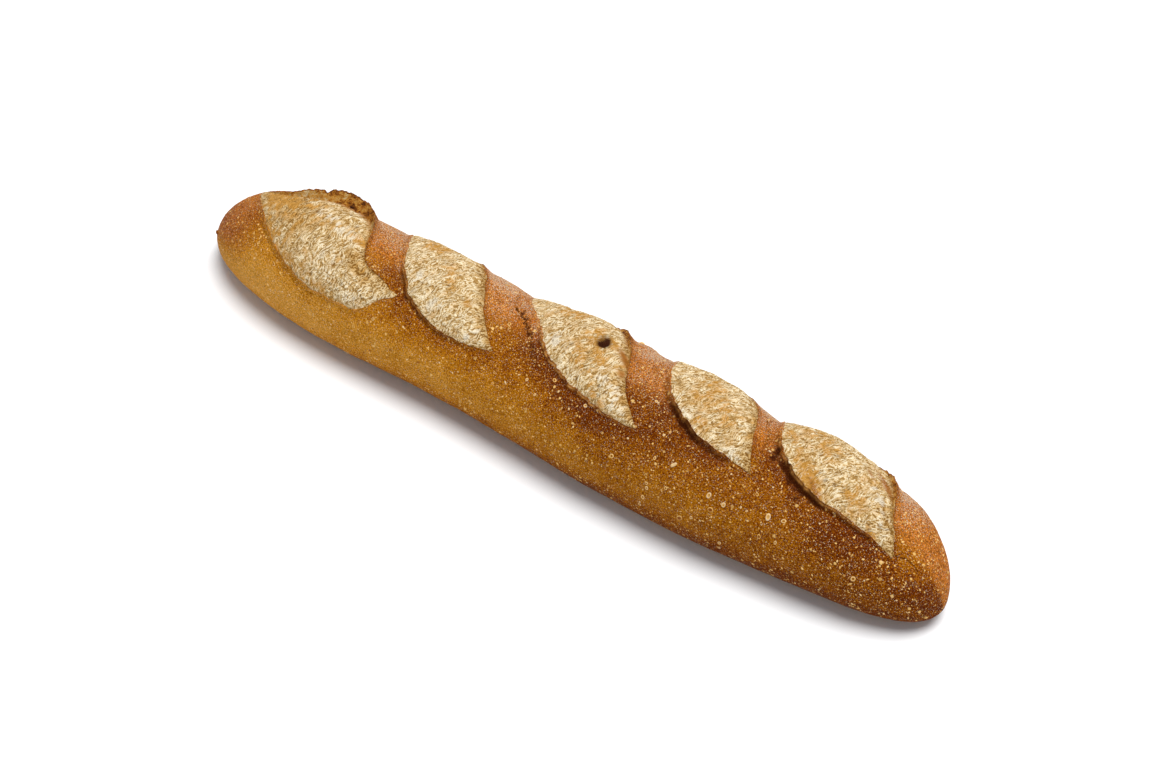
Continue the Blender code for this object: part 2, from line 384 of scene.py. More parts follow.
def leaf_distance(slash, along, round_):
    """Distance to a leaf's edge, less than 0 inside it, with the share and side of the nearest place on it.

    The nearest of a coarse set of edge points is found first, and then the nearest of the fine ones about it.
    """
    start, ahead, front, length = slash_axes(slash)
    offset = np.stack([along - start[0], round_ - start[1]], axis=-1)
    reach, side = offset @ ahead, offset @ front
    far = np.full(along.shape, AWAY)
    shares = np.zeros(along.shape)
    at_front = np.ones(along.shape, bool)
    near = (reach > -NEAR_ENDS) & (reach < length + NEAR_ENDS) & (np.abs(side) < NEAR_SIDES)
    if not near.any():
        return far, shares, at_front
    place = np.stack([reach[near], side[near]], axis=-1)
    found = []
    for is_front in (True, False):
        share, line, _ = edge_line(slash, is_front, FINE_POINTS)
        gaps = ((place[:, None, :] - line[None, ::COARSE_STEP]) ** 2).sum(-1)
        about = np.arange(-COARSE_STEP, COARSE_STEP + 1)
        index = np.clip(gaps.argmin(1)[:, None] * COARSE_STEP + about, 0, FINE_POINTS - 1)
        gaps = ((place[:, None, :] - line[index]) ** 2).sum(-1)
        best = gaps.argmin(1)
        rows = np.arange(len(place))
        found.append((np.sqrt(gaps[rows, best]), share[index[rows, best]]))
    (front_gap, front_share), (back_gap, back_share) = found
    nearer_front = front_gap <= back_gap
    share = place[:, 0] / length
    front_side, back_side = leaf_sides(slash, share)
    inside = (share > 0) & (share < 1) & (place[:, 1] < front_side) & (place[:, 1] > -back_side)
    far[near] = np.minimum(front_gap, back_gap) * np.where(inside, -1, 1)
    shares[near] = np.where(nearer_front, front_share, back_share)
    at_front[near] = nearer_front
    return far, shares, at_front


def end_fade(share, low, high):
    """0 at both tips of a slash and 1 along it, by the angle whose cosine spaces its rings."""
    place = np.arccos(np.clip(1 - 2 * share, -1, 1)) / np.pi
    return smooth_step(low, high, place) * smooth_step(low, high, 1 - place)


def unevenness(points):
    """Slow swellings of the crust, random fields of four sizes, flat where it lay on the deck."""
    broad = 0.3 * lattice_noise(points, 34, 11) + 0.2 * lattice_noise(points, 13, 12)
    small = 0.1 * lattice_noise(points, 5.5, 13) + 0.05 * lattice_noise(points, 2.1, 14)
    return (broad + small - 0.35) * smooth_step(0.5, 9, points[..., 2])


def crust_surface(along, round_, covered):
    """Height and finish of the crust.

    Height is the unevenness plus, beside each slash, a sharp wall exp(-out / wall) with a crease in front
    of it, a flat fold on some of them, and the ear's outer slope behind. Where covered is true it is
    lowered under the lips, ears and crumb that lie on it.
    """
    along, round_ = np.broadcast_arrays(along, round_)
    points = skin(along, round_)
    height = unevenness(points)
    char_and_shade = np.zeros(along.shape)
    crisp = np.zeros(along.shape)
    red = np.zeros(along.shape)
    for slash, look in zip(SLASHES, LIPS):
        gap, share, at_front = leaf_distance(slash, along, round_)
        lip, ear, _, _ = leaf_heights(slash, share)
        out = np.maximum(gap, 0)
        fade = np.sin(np.pi * np.clip(share, 0, 1)) ** FADE
        wobble = 1 + 0.4 * lattice_noise(points, 4, 20 + slash.number)
        wobble = wobble + 0.35 * lattice_noise(points, 1.3, 26)
        folded = bell(share, look.fold_place, look.fold_spread) * fade
        past = out - look.fold_width * wobble
        wall = lip * np.exp(-out / look.wall) + look.fold * folded * (1 - smooth_step(-0.9, 0.7, past))
        crease = look.crease * fade * bell(out, 2.4, 1.5) * (1 - folded)
        crease = crease + 0.5 * folded * bell(past, 1.4, 1.0)
        slope = ear * (0.7 * bell(out, 0, 3.4) + 0.3 * np.exp(-out / 0.9))
        height = height + np.where(at_front, wall - crease, slope)
        dark = look.dark * bell(share, look.dark_place, look.dark_spread) * fade
        dark = dark * (1 + 0.7 * lattice_noise(points, 3, 28))
        band = dark * (1 - smooth_step(0.3 * look.dark_width, look.dark_width, out * wobble))
        # At the foot of a fold the dark line is painted shadow under the fold's edge; elsewhere the band is
        # burnt crust.
        band = np.maximum(band * (1 - 0.7 * folded), 0.9 * look.fold * folded * bell(past, 1.0, 0.8))
        behind = (0.3 + 0.04 * ear) * bell(out, 0, 0.9 + 0.08 * ear) * fade
        char_and_shade = np.maximum(char_and_shade, np.where(at_front, band, behind))
        pale = np.maximum(look.pale * bell(out, 0.4, 0.4), 0.4 * folded * bell(past, 0, 0.45))
        patchy = 0.6 + 0.8 * lattice_noise(points, 2.2, 27)
        crisp = np.maximum(crisp, np.where(at_front, pale, 0) * fade * patchy)
        near = bell(out, 0, 10) * np.where(at_front, look.red * (1.1 - share) ** 0.5, 0.06)
        red = red + near * smooth_step(0, 0.15, share)
        if covered:
            under = 1.45 * bell(out, 0, 3.6) + 0.12 * (1 - smooth_step(4, 8.5, out))
            inside = smooth_step(0, 2.5, -gap)
            height = (height - under * end_fade(share, 0.03, 0.09)) * (1 - inside)
            height = height - 0.75 * CORE_DEPTH * inside
    for crack in CRACKS:
        start, end = np.array(crack.start, float), np.array(crack.end, float)
        line = end - start
        offset = np.stack([along - start[0], round_ - start[1]], axis=-1)
        share = np.clip(offset @ line / (line @ line), 0, 1)
        bent = offset - share[..., None] * line
        far = np.hypot(bent[..., 0], bent[..., 1] + crack.bend * np.sin(np.pi * share))
        cut = bell(far, 0, crack.width)
        height = height - crack.depth * cut
        # Painted shadow: the crack's line is darkened as if in shade.
        char_and_shade = np.maximum(char_and_shade, 0.9 * cut)
    return points, height, char_and_shade, crisp, red


def crust_finish(points, along, round_, char_and_shade, crisp, red):
    """Finish of the crust at each point, as named shares from 0 to 1 that its material reads."""
    mottle = 0.08 * lattice_noise(points, 24, 31) + 0.06 * lattice_noise(points, 9, 32)
    bake_and_shade = np.interp(along, *np.transpose(BAKED)) + mottle
    right = smooth_step(20, 130, along)
    bake_and_shade = bake_and_shade + (0.3 - 0.22 * right) * smooth_step(-48, -20, round_)
    # Painted shade: the lowest band of the front is darker, except near the blunt end, where the crust turns
    # under.
    bake_and_shade = bake_and_shade + 0.12 * smooth_step(-50, -60, round_) * smooth_step(-120, -60, along)
    bake_and_shade = bake_and_shade + 0.2 * bell(along, 166, 15) * bell(round_, -24, 9)
    bake_and_shade = bake_and_shade + 0.32 * smooth_step(-160, -192, along) * smooth_step(-50, -28, round_)
    tip = smooth_step(182, 200, along) * smooth_step(-38, -10, round_) * smooth_step(16, -4, round_)
    bake_and_shade = bake_and_shade - 0.22 * tip
    bake_and_shade = bake_and_shade + 0.2 * smooth_step(200, 212, along) * smooth_step(-50, -30, round_)
    bake_and_shade = bake_and_shade + red * (1 - 0.5 * smooth_step(100, 180, along))
    top = smooth_step(-10, 4, round_) * smooth_step(75, 45, round_)
    bake_and_shade = bake_and_shade + (0.5 - bake_and_shade) * 0.75 * top * smooth_step(-0.2, 0.35, 1 - char_and_shade)
    # Painted shade: all along the loaf the crust darkens as it turns under at the bottom of the front.
    bake_and_shade = bake_and_shade + 0.25 * smooth_step(-52, -66, round_)
    beneath = smooth_step(5, 0.6, points[..., 2])
    bake_and_shade = bake_and_shade + (0.42 - bake_and_shade) * beneath
    # Flour dust, with painted sheen on the top strips.
    flour_and_sheen = np.interp(round_, *np.transpose(FLOUR_AND_SHEEN)) * smooth_step(-215, -130, along)
    flour_and_sheen = flour_and_sheen * (1 - 0.8 * smooth_step(178, 200, along))
    flour_and_sheen = flour_and_sheen + 0.16 * lattice_noise(points, 10, 33) * smooth_step(-30, 0, round_)
    flour_and_sheen = np.maximum(flour_and_sheen, 0.65 * beneath)
    blush = 0.9 * smooth_step(-165, -198, along) * smooth_step(-52, -30, round_)
    blush = np.maximum(blush, 0.85 * top)
    speckle = 0.58 + 0.3 * lattice_noise(points, 13, 34)
    speckle = speckle + 0.3 * smooth_step(-150, -190, along) + 0.25 * smooth_step(170, 200, along)
    return {
        "bake_and_shade": np.clip(bake_and_shade, 0, 1),
        "blush": np.clip(blush, 0, 1),
        "char_and_shade": np.clip(char_and_shade, 0, 1),
        "crisp": np.clip(crisp, 0, 1),
        "flour_and_sheen": np.clip(flour_and_sheen * (1 - char_and_shade), 0, 1),
        "speckle": np.clip(speckle, 0.05, 0.9),
        "beneath": beneath,
    }


# ---------------------------------------------------------------- meshes


def make_piece(name, points, faces, values, materials, face_materials=None, leaf=None):
    """Puts points in millimetres, sets of faces and point values into a mesh that rides with the loaf."""
    mesh = bpy.data.meshes.new(name)
    corners = np.concatenate([group.ravel() for group in faces]).astype(np.int32)
    sizes = np.concatenate([np.full(len(group), group.shape[1]) for group in faces])
    mesh.vertices.add(len(points))
    mesh.vertices.foreach_set("co", (points * MM).astype(np.float32).ravel())
    mesh.loops.add(len(corners))
    mesh.loops.foreach_set("vertex_index", corners)
    mesh.polygons.add(len(sizes))
    mesh.polygons.foreach_set("loop_start", (np.cumsum(sizes) - sizes).astype(np.int32))
    mesh.update(calc_edges=True)
    for key, value in values.items():
        layer = mesh.attributes.new(key, "FLOAT", "POINT")
        layer.data.foreach_set("value", np.asarray(value, np.float32).ravel())
    if leaf is not None:
        layer = mesh.uv_layers.new(name="leaf")
        layer.data.foreach_set("uv", (leaf[corners] * MM).astype(np.float32).ravel())
    for material in materials:
        mesh.materials.append(material)
    if face_materials is not None:
        mesh.polygons.foreach_set("material_index", face_materials.astype(np.int32))
    mesh.shade_smooth()
    piece = bpy.data.objects.new(name, mesh)
    bpy.context.scene.collection.objects.link(piece)
    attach(piece, BODY)
    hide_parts(NODE)
    return piece


def tube_faces(count, sides):
    """Faces of a closed tube of rings, with a point at each end: quads between rings and two fans."""
    here = np.arange(sides)
    beside = np.roll(here, -1)
    near = 1 + sides * np.arange(count - 1)[:, None]
    quads = np.stack([near + beside, near + here, near + sides + here, near + sides + beside], axis=-1)
    last = 1 + (count - 1) * sides
    end = 1 + count * sides
    first_fan = np.stack([np.zeros_like(here), 1 + here, 1 + beside], axis=-1)
    last_fan = np.stack([np.full_like(here, end), last + beside, last + here], axis=-1)
    return [quads.reshape(-1, 4), first_fan, last_fan]


def with_ends(rings):
    """Flat list of a tube's values, with the mean of its first and last rings as its end points."""
    flat = rings.reshape(-1, *rings.shape[2:])
    return np.concatenate([rings[0].mean(0)[None], flat, rings[-1].mean(0)[None]])


# ---------------------------------------------------------------- nodes


def add_node(tree, kind, inputs=None, **settings):
    """A node with its settings, whose inputs are numbers, colours or other nodes' outputs."""
    made = tree.nodes.new(kind)
    for key, value in settings.items():
        setattr(made, key, value)
    for key, value in (inputs or {}).items():
        if isinstance(value, bpy.types.NodeSocket):
            tree.links.new(value, made.inputs[key])
        else:
            made.inputs[key].default_value = value
    return made


def node_sum(tree, operation, first, second, third=None, clamp=False):
    """Output of a math node: the third number is only for operations that take three."""
    inputs = {0: first, 1: second} if third is None else {0: first, 1: second, 2: third}
    return add_node(tree, "ShaderNodeMath", inputs, operation=operation, use_clamp=clamp).outputs[0]


def times(tree, first, second, clamp=False):
    return node_sum(tree, "MULTIPLY", first, second, clamp=clamp)


def plus(tree, first, second, clamp=False):
    return node_sum(tree, "ADD", first, second, clamp=clamp)


def minus(tree, first, second, clamp=False):
    return node_sum(tree, "SUBTRACT", first, second, clamp=clamp)


def times_plus(tree, first, second, third):
    return node_sum(tree, "MULTIPLY_ADD", first, second, third)


def mix_colour(tree, share, low, high):
    return add_node(tree, "ShaderNodeMix", {0: share, 6: low, 7: high}, data_type="RGBA").outputs[2]


def read_value(tree, name):
    return add_node(tree, "ShaderNodeAttribute", attribute_name=name).outputs["Fac"]


def noise_node(tree, vector, size, detail=2.0, roughness=0.5):
    """Random texture whose features are about size millimetres across."""
    inputs = {"Vector": vector, "Scale": 1 / (size * MM), "Detail": detail, "Roughness": roughness}
    return add_node(tree, "ShaderNodeTexNoise", inputs).outputs["Fac"]


def spread_node(tree, value, low, high):
    """0 under low, 1 over high, smooth between."""
    inputs = {0: value, 1: low, 2: high}
    return add_node(tree, "ShaderNodeMapRange", inputs, interpolation_type="SMOOTHSTEP").outputs[0]


def ramp_node(tree, value, stops):
    node = add_node(tree, "ShaderNodeValToRGB", {0: value})
    ramp = node.color_ramp
    while len(ramp.elements) < len(stops):
        ramp.elements.new(0.5)
    for element, (place, colour) in zip(ramp.elements, stops):
        element.position = place
        element.color = colour
    return node.outputs[0]


def stirred_node(tree, place, size, push):
    """Coordinates pushed about by a random field of that size, by up to push millimetres."""
    inputs = {"Vector": place, "Scale": 1 / (size * MM), "Detail": 1.0}
    field = add_node(tree, "ShaderNodeTexNoise", inputs).outputs["Color"]
    inputs = {0: field, 1: (2 * push * MM,) * 3, 2: place}
    return add_node(tree, "ShaderNodeVectorMath", inputs, operation="MULTIPLY_ADD").outputs[0]


def new_material(name):
    """A material with its node tree, its shader and the coordinates of its object."""
    material = bpy.data.materials.new(name)
    material.use_nodes = True
    tree = material.node_tree
    place = add_node(tree, "ShaderNodeTexCoord").outputs["Object"]
    return material, tree, tree.nodes["Principled BSDF"], place


def set_surface(tree, shader, colour, roughness, specular, normal=None):
    """Gives a shader its colour and, if there is one, its normal from nodes, and two plain numbers."""
    tree.links.new(colour, shader.inputs["Base Color"])
    if normal is not None:
        tree.links.new(normal, shader.inputs["Normal"])
    shader.inputs["Roughness"].default_value = roughness
    shader.inputs["Specular IOR Level"].default_value = specular


def bump_node(tree, height, depth):
    """Normals tilted by a height from 0 to 1 that stands for depth millimetres."""
    inputs = {"Height": height, "Distance": depth * MM, "Strength": 1.0}
    return add_node(tree, "ShaderNodeBump", inputs).outputs[0]


def crust_material(look):
    """Baked crust: a ramp from pale ochre to dark brown read by bake, which also holds painted shade low on
    the front, then char with painted shadow in cracks and folds, specks, and flour with painted sheen on the
    top.
    """
    material, tree, shader, place = new_material("baked_crust")
    cloud = noise_node(tree, place, 6, 3)
    grain = noise_node(tree, place, 0.6, 2, 0.7)
    dust = noise_node(tree, place, 0.5, 1, 0.6)
    tone = times_plus(tree, cloud, 0.4, -0.2)
    tone = plus(tree, tone, times_plus(tree, grain, 2.2, -1.1))
    tone = plus(tree, tone, read_value(tree, "bake_and_shade"), clamp=True)
    stops = (
        (0.0, look.pale), (0.2, look.golden), (0.4, look.ochre), (0.6, look.amber), (0.8, look.brown),
        (1.0, look.dark),
    )
    colour = ramp_node(tree, tone, stops)
    colour = mix_colour(tree, times(tree, read_value(tree, "blush"), 0.6), colour, look.blush)
    # char: burnt crust, and painted shadow in cracks and at the feet of folds.
    char_and_shade = times(tree, read_value(tree, "char_and_shade"), plus(tree, grain, 0.5), clamp=True)
    colour = mix_colour(tree, char_and_shade, colour, look.burnt_and_shade)
    colour = mix_colour(tree, read_value(tree, "crisp"), colour, look.edge)
    pepper = spread_node(tree, noise_node(tree, place, 0.75, 1), 0.36, 0.64)
    depth = times_plus(tree, read_value(tree, "blush"), 0.6, 0.4)
    scale = times_plus(tree, minus(tree, pepper, 0.5), depth, 1.0)
    inputs = {0: colour, "Scale": scale}
    colour = add_node(tree, "ShaderNodeVectorMath", inputs, operation="SCALE").outputs[0]
    bare = minus(tree, 1.0, char_and_shade, clamp=True)
    for size, share, strength in ((1.5, 1.2, 1.0), (2.9, 0.8, 0.9)):
        inputs = {"Vector": stirred_node(tree, place, 0.5 * size, 0.25 * size), "Scale": 1 / (size * MM)}
        cells = add_node(tree, "ShaderNodeTexVoronoi", inputs)
        hue = add_node(tree, "ShaderNodeSeparateColor", {0: cells.outputs["Color"]})
        limit = times(tree, read_value(tree, "speckle"), share)
        chosen = node_sum(tree, "LESS_THAN", hue.outputs[0], limit)
        edge = times_plus(tree, node_sum(tree, "POWER", hue.outputs[1], 2.0), 0.2, 0.12)
        near = spread_node(tree, minus(tree, edge, cells.outputs["Distance"]), -0.02, 0.08)
        near = times(tree, near, times(tree, chosen, bare))
        faint = times_plus(tree, hue.outputs[2], 0.6 * strength, 0.45 * strength)
        colour = mix_colour(tree, times(tree, near, faint), colour, look.speck)
    # Flour dust and painted sheen, mixed towards the flour colour.
    flour_and_sheen = plus(tree, read_value(tree, "flour_and_sheen"), times_plus(tree, dust, 3.0, -1.5))
    flour_and_sheen = times(tree, spread_node(tree, flour_and_sheen, 0.44, 0.62), 0.85)
    colour = mix_colour(tree, times(tree, flour_and_sheen, bare), colour, look.flour_and_sheen)
    normal = bump_node(tree, plus(tree, grain, times(tree, near, 0.5)), 0.3)
    set_surface(tree, shader, colour, look.roughness, 0.01, normal)
    return material


def crumb_material(look):
    """Open crumb: fine streaks across the slash over a tone, tan and white patches, pores and baked rims,
    with painted shade in the hollows and painted highlights on the fibres.
    """
    material, tree, shader, place = new_material("open_crumb")
    leaf = add_node(tree, "ShaderNodeUVMap", uv_map="leaf").outputs[0]
    bent = stirred_node(tree, leaf, 7, 4)
    stretched = add_node(tree, "ShaderNodeMapping", {"Vector": bent, "Scale": (1.0, 0.2, 1.0)}).outputs[0]
    streak = noise_node(tree, stretched, 0.72, 2, 0.6)
    grain = noise_node(tree, place, 0.6, 1, 0.6)
    mixed = plus(tree, times(tree, streak, 0.7), times(tree, grain, 0.3))
    # The same field raises the bump, so this tone paints shade in its hollows and highlights on its tops.
    spread = spread_node(tree, mixed, 0.42, 0.58)
    tone = times_plus(tree, read_value(tree, "tone"), 0.4, times(tree, spread, 0.6))
    tone = plus(tree, tone, times(tree, read_value(tree, "shade"), -0.45), clamp=True)
    stops = ((0.0, look.shade), (0.35, look.straw), (0.65, look.cream), (1.0, look.light))
    colour = ramp_node(tree, tone, stops)
    patches = (("tan", 0.9, 1.4, 0.85), ("white", 1.0, 1.6, 0.8), ("toast", 0.8, 1.7, 0.95))
    for name, low, high, share in patches:
        patch = plus(tree, read_value(tree, name), times(tree, mixed, 1.4))
        patch = times(tree, spread_node(tree, patch, low, high), share)
        colour = mix_colour(tree, patch, colour, getattr(look, name))
    # Painted shade in the gaps between fibres.
    gaps = minus(tree, 1.0, spread_node(tree, mixed, 0.38, 0.48))
    colour = mix_colour(tree, times(tree, gaps, 0.5), colour, look.shade)
    # Painted highlight on the tips of the fibres, less where the crumb is shaded.
    tips = times(tree, spread_node(tree, mixed, 0.53, 0.62), 0.4)
    colour = mix_colour(tree, minus(tree, tips, read_value(tree, "shade"), clamp=True), colour, look.light)
    # Painted shade inside holes and pores.
    pit_shade = times(tree, read_value(tree, "pit_shade"), plus(tree, grain, 0.6), clamp=True)
    colour = mix_colour(tree, pit_shade, colour, look.pit_shade)
    set_surface(tree, shader, colour, 0.9, 0.08, bump_node(tree, mixed, 1.3))
    return material


def toasted_material(look):
    """Torn inner side of an ear: patches from straw through amber to dark brown as toast rises."""
    material, tree, shader, place = new_material("toasted_crumb")
    cloud = noise_node(tree, place, 3.2, 3, 0.65)
    grain = noise_node(tree, place, 0.6, 2, 0.75)
    tone = times_plus(tree, cloud, 2.2, -1.1)
    tone = plus(tree, tone, times_plus(tree, grain, 1.2, -0.6))
    tone = plus(tree, tone, read_value(tree, "toast"), clamp=True)
    stops = ((0.0, look.cream), (0.2, look.straw), (0.42, look.tan), (0.64, look.toast), (1.0, look.pit_shade))
    colour = ramp_node(tree, tone, stops)
    set_surface(tree, shader, colour, 0.8, 0.1, bump_node(tree, plus(tree, cloud, grain), 0.9))
    return material


def blister_material(look):
    """Thin bubbled skin, from crust brown to pale, with a little variation from bubble to bubble."""
    material, tree, shader, place = new_material("blistered_skin")
    cloud = noise_node(tree, place, 2, 2)
    tone = times_plus(tree, cloud, 0.5, -0.25)
    tone = plus(tree, tone, read_value(tree, "pale"), clamp=True)
    stops = ((0.0, look.brown), (0.3, look.amber), (0.65, look.speck), (1.0, look.flour_and_sheen))
    set_surface(tree, shader, ramp_node(tree, tone, stops), 0.6, 0.15)
    return material


def floor_material(colour):
    material, tree, shader, place = new_material("pale_floor")
    cloud = noise_node(tree, place, 400, 1)
    shade = ramp_node(tree, cloud, ((0.3, colour), (0.7, tuple(0.985 * c for c in colour[:3]) + (1.0,))))
    set_surface(tree, shader, shade, 0.9, 0.1)
    return material


def material_once(name, make, look):
    """The material of that name, made the first time it is asked for."""
    found = bpy.data.materials.get(name)
    return found or make(look)


# ---------------------------------------------------------------- settings


def colour_setting(name, description, *rgb):
    return bpy.props.FloatVectorProperty(
        name=name, description=description, default=srgb(*rgb), size=4, subtype="COLOR", min=0, max=1
    )


class BaguetteCrustSettings(bpy.types.PropertyGroup):
    pale: colour_setting("Pale", "Least baked crust", 206, 148, 64)
    golden: colour_setting("Golden", "Lightly baked crust", 192, 132, 38)
    ochre: colour_setting("Ochre", "Crust between golden and amber", 176, 112, 18)
    amber: colour_setting("Amber", "Well baked crust", 152, 92, 8)
    brown: colour_setting("Brown", "Deeply baked crust", 130, 66, 6)
    dark: colour_setting("Dark", "Darkest crust", 84, 32, 4)
    blush: colour_setting("Blush", "Reddish crust of the top", 172, 98, 44)
    # Burnt colour, also used for the painted shadow in cracks and at the feet of folds.
    burnt_and_shade: colour_setting("Burnt", "Caramelised band beside a slash", 62, 25, 7)
    edge: colour_setting("Edge", "Thin torn edge of a lip", 212, 148, 72)
    speck: colour_setting("Speck", "Small bubbles in the skin", 236, 190, 112)
    # Colour of the flour dust and of the painted sheen on the top.
    flour_and_sheen: colour_setting("Flour", "Dusting of flour", 202, 182, 156)
    roughness: bpy.props.FloatProperty(
        name="Roughness", description="Roughness of bare crust", default=0.6, min=0, max=1
    )


class BaguetteCrumbSettings(bpy.types.PropertyGroup):
    # Painted shade in the hollows between fibres.
    shade: colour_setting("Shade", "Hollows between fibres", 128, 88, 34)
    straw: colour_setting("Straw", "Crumb, darker", 186, 148, 88)
    cream: colour_setting("Cream", "Crumb, lighter", 218, 190, 142)
    # Painted highlight on the tips of the fibres.
    light: colour_setting("Light", "Tips of the fibres", 252, 238, 206)
    tan: colour_setting("Tan", "Toasted patches", 194, 138, 56)
    white: colour_setting("White", "Floury patches", 232, 218, 192)
    toast: colour_setting("Toast", "Baked rim", 156, 92, 24)
    # Colour of the painted shade inside holes and pores, and of the darkest patches on an ear's torn wall.
    pit_shade: colour_setting("Pit", "Inside a hole", 58, 26, 10)
    fibre: bpy.props.FloatProperty(
        name="Fibre", description="Height of the crumb's fibres in millimetres", default=0.34, min=0, max=1
    )


class BaguetteBlisterSettings(bpy.types.PropertyGroup):
    count: bpy.props.IntProperty(
        name="Count", description="Number of small bubbles", default=1500, min=0, max=4000
    )
    rings: bpy.props.IntProperty(
        name="Rings", description="Number of burst bubbles with a rim", default=70, min=0, max=300
    )


class BaguetteStageSettings(bpy.types.PropertyGroup):
    floor: colour_setting("Floor", "Pale floor", 248, 248, 248)
    fill: bpy.props.FloatProperty(name="Fill", description="Light from all round", default=0.40, min=0)
    key: bpy.props.FloatProperty(name="Key", description="Strength of the main light", default=3.2, min=0)
    softness: bpy.props.FloatProperty(
        name="Softness", description="Width of the main light in the sky",
        default=math.radians(40), min=0, max=math.pi, subtype="ANGLE",
    )
    distance: bpy.props.FloatProperty(
        name="Distance", description="From the camera to what it looks at",
        default=1.256, min=0.1, subtype="DISTANCE",
    )
    azimuth: bpy.props.FloatProperty(
        name="Azimuth", description="Turn of the camera about the loaf", default=math.radians(35.69),
        subtype="ANGLE",
    )
    elevation: bpy.props.FloatProperty(
        name="Elevation", description="Height of the camera over the floor", default=math.radians(45),
        subtype="ANGLE",
    )
    lens: bpy.props.FloatProperty(
        name="Lens", description="Focal length in millimetres", default=81.7, min=10
    )


# ---------------------------------------------------------------- pieces


class BAGUETTE_OT_crust(bpy.types.Operator):
    """Makes the crust: the whole skin of the loaf as one closed surface"""

    bl_idname = "baguette.crust"
    bl_label = "Crust"

    def execute(self, context):
        """Rings at LENGTH/2 * sin(angle) and turns t - LOAF_TURNS * sin(pi t) / pi, closer at the top."""
        angle = np.linspace(-np.pi / 2, np.pi / 2, LOAF_RINGS + 2)[1:-1]
        along = LENGTH / 2 * np.sin(angle)
        step = np.linspace(-1, 1, LOAF_SIDES, endpoint=False)
        round_ = (np.pi * step - LOAF_TURNS * np.sin(np.pi * step)) * GIRTH_RADIUS
        along, round_ = np.broadcast_arrays(along[:, None], round_[None, :])
        points, height, char_and_shade, crisp, red = crust_surface(along, round_, covered=True)
        values = crust_finish(points, along, round_, char_and_shade, crisp, red)
        make_piece(
            "crust", with_ends(lift(along, round_, height)), tube_faces(LOAF_RINGS, LOAF_SIDES),
            {key: with_ends(value) for key, value in values.items()},
            [material_once("baked_crust", crust_material, context.scene.baguette_crust)],
        )
        return {"FINISHED"}


def crumb_relief(slash, share, reach, side, fibre):
    """Height of the crumb's fine relief, and its finish, whose tone paints shade in the hollows and
    highlights on the fibres.

    Fibres are ridged random fields stretched across the slash and bent by a slower field. Pores and patches
    are bells at their places; the same field bends the edges of the patches.
    """
    layer = np.full_like(reach, 40.0 * slash.number)
    flat = np.stack([reach, side, layer], -1)
    bend = lattice_noise(flat, 7, 41)
    fibres = 0
    for cell, stretch, size, seed in ((2.3, 3.5, 0.16, 42), (1.3, 3.0, 0.26, 43), (0.8, 2.0, 0.44, 44)):
        place = np.stack([reach + 1.6 * bend + 0.3 * side, side / stretch, layer], -1)
        fibres = fibres + size * (1 - 2 * np.abs(lattice_noise(place, cell, seed + slash.number)))
    lumps = lattice_noise(flat, 6, 45)
    relief = fibre * 1.6 * fibres + 0.4 * lumps
    finish = {key: np.zeros_like(reach) for key in ("pit_shade", "tan", "white", "toast", "shade")}
    # Painted shade and highlight: tone follows the relief, darker in the hollows and lighter on the fibres.
    finish["tone"] = np.clip(0.5 + 0.55 * fibres + 0.1 * lumps, 0, 1)
    flecks = lattice_noise(np.stack([reach + bend, side / 1.8, layer], -1), 1.5, 46)
    finish["tan"] += 0.2 + 0.24 * flecks + 0.14 * lattice_noise(flat, 6, 47)
    finish["white"] += 0.12 - 0.25 * flecks
    random = np.random.default_rng(50 + slash.number)
    for _ in range(PORES):
        x, y = random.uniform(0.04, 0.96) * reach.max(), random.uniform(side.min(), side.max())
        size, depth = random.uniform(0.3, 0.8), random.uniform(0.3, 0.9)
        pore = bell(np.hypot(reach - x, (side - y) / random.uniform(1, 2)), 0, size)
        relief = relief - depth * pore
        # Each pore is sunk and darkened with painted shade.
        finish["pit_shade"] = np.maximum(finish["pit_shade"], pore * random.uniform(0.15, 0.5))
    slow = lattice_noise(flat + (0, 0, 5), 2.6, 49)
    for patch in PATCHES:
        if patch.slash == slash.number:
            ahead = (reach - patch.share * reach.max() + 1.2 * bend) / patch.length
            beside = (side - patch.side + 0.7 * slow) / patch.width
            spot = np.exp(-(ahead**2) - beside**2)
            kind, strength = patch.kind, patch.strength * spot
            if kind == "white":
                finish[kind] += strength * (0.6 - 0.7 * flecks)
            elif kind == "tan":
                finish[kind] += strength * (0.7 + 0.5 * flecks)
            else:
                finish[kind] = np.maximum(finish[kind], strength * (1 + 0.3 * slow))
            relief = relief - patch.depth * spot
    return relief, finish


